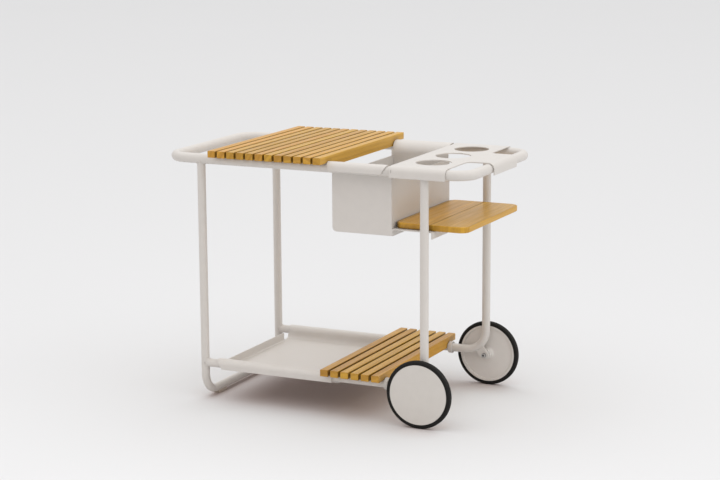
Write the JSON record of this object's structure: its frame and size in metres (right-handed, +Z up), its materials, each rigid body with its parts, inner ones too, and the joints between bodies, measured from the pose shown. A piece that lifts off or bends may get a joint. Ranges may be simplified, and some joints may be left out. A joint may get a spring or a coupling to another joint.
{
  "type": "cheese trolley",
  "caption": "Two-deck serving trolley: tube frame with sled foot and wheels, slatted wooden decks, tray, hanging bin, glass holder and cutting board.",
  "frame": {"origin": "on the floor, under the middle of the whole trolley", "axes": "+X from the sled foot to the wheels, +Y to the far side, +Z up"},
  "size_m": [1.001, 0.582, 0.7704],
  "materials": {
    "powder_coat": "satin",
    "wheel_disc_coat": "satin",
    "wheel_cover_coat": "satin",
    "slat_wood": "oiled",
    "board_wood": "oiled",
    "tyre_rubber": "matte",
    "bush_nylon": "matte",
    "glide_plastic": "matte",
    "fastener_steel": "satin"
  },
  "bodies": {
    "frame": {"axle_bolt_far": "fastener_steel", "axle_bolt_near": "fastener_steel", "axle_nut_far": "fastener_steel", "axle_nut_near": "fastener_steel", "axle_spacer_far": "fastener_steel", "axle_spacer_near": "fastener_steel", "axle_washer_far": "fastener_steel", "axle_washer_near": "fastener_steel", "floor_glides": "glide_plastic", "left_sled_frame": "powder_coat", "rail_collars": "powder_coat", "right_leg_far": "powder_coat", "right_leg_near": "powder_coat", "top_ring": "powder_coat", "wheel_bracket_far": "powder_coat", "wheel_bracket_near": "powder_coat"},
    "wheel_near": {"tyre_near": "tyre_rubber", "wheel_bushes_near": "bush_nylon", "wheel_cover_near": "wheel_cover_coat", "wheel_disc_near": "wheel_disc_coat"},
    "wheel_far": {"tyre_far": "tyre_rubber", "wheel_bushes_far": "bush_nylon", "wheel_cover_far": "wheel_cover_coat", "wheel_disc_far": "wheel_disc_coat"},
    "top_deck": {"top_batten_far": "slat_wood", "top_batten_near": "slat_wood", "top_deck_screws": "fastener_steel", "top_slat_01": "slat_wood", "top_slat_02": "slat_wood", "top_slat_03": "slat_wood", "top_slat_04": "slat_wood", "top_slat_05": "slat_wood", "top_slat_06": "slat_wood", "top_slat_07": "slat_wood", "top_slat_08": "slat_wood", "top_slat_09": "slat_wood", "top_slat_10": "slat_wood", "top_slat_11": "slat_wood", "top_slat_12": "slat_wood"},
    "low_deck": {"deck_batten_far": "slat_wood", "deck_batten_near": "slat_wood", "deck_screws": "fastener_steel", "deck_slat_1": "slat_wood", "deck_slat_2": "slat_wood", "deck_slat_3": "slat_wood", "deck_slat_4": "slat_wood", "deck_slat_5": "slat_wood", "deck_slat_6": "slat_wood"},
    "bin": {"bottle_bin": "powder_coat", "board_bracket": "powder_coat", "bracket_rivets": "powder_coat"},
    "glass_rack": {"glass_holder": "powder_coat"},
    "tray_body": {"tray": "powder_coat"},
    "board": {"board_plank_left": "board_wood", "board_plank_right": "board_wood", "board_tongue": "board_wood"}
  },
  "joints": [
    {"name": "near_wheel_spin", "type": "hinge", "parent": "frame", "child": "wheel_near", "pos_m": [0.3435, -0.266, 0.1], "axis": [0, 1, 0], "continuous": true},
    {"name": "far_wheel_spin", "type": "hinge", "parent": "frame", "child": "wheel_far", "pos_m": [0.3435, 0.266, 0.1], "axis": [0, 1, 0], "continuous": true},
    {"name": "top_deck_lift", "type": "slide", "parent": "frame", "child": "top_deck", "axis": [0, 0, 1], "range_m": [0, 0.1]},
    {"name": "bin_lift", "type": "slide", "parent": "frame", "child": "bin", "axis": [0, 0, 1], "range_m": [0, 0.1]},
    {"name": "glass_holder_lift", "type": "slide", "parent": "frame", "child": "glass_rack", "axis": [0, 0, 1], "range_m": [0, 0.1]},
    {"name": "tray_lift", "type": "slide", "parent": "frame", "child": "tray_body", "axis": [0, 0, 1], "range_m": [0, 0.08]},
    {"name": "low_deck_lift", "type": "slide", "parent": "tray_body", "child": "low_deck", "axis": [0, 0, 1], "range_m": [0, 0.1]},
    {"name": "board_slide", "type": "slide", "parent": "bin", "child": "board", "axis": [1, 0, 0], "range_m": [0, 0.13]}
  ]
}
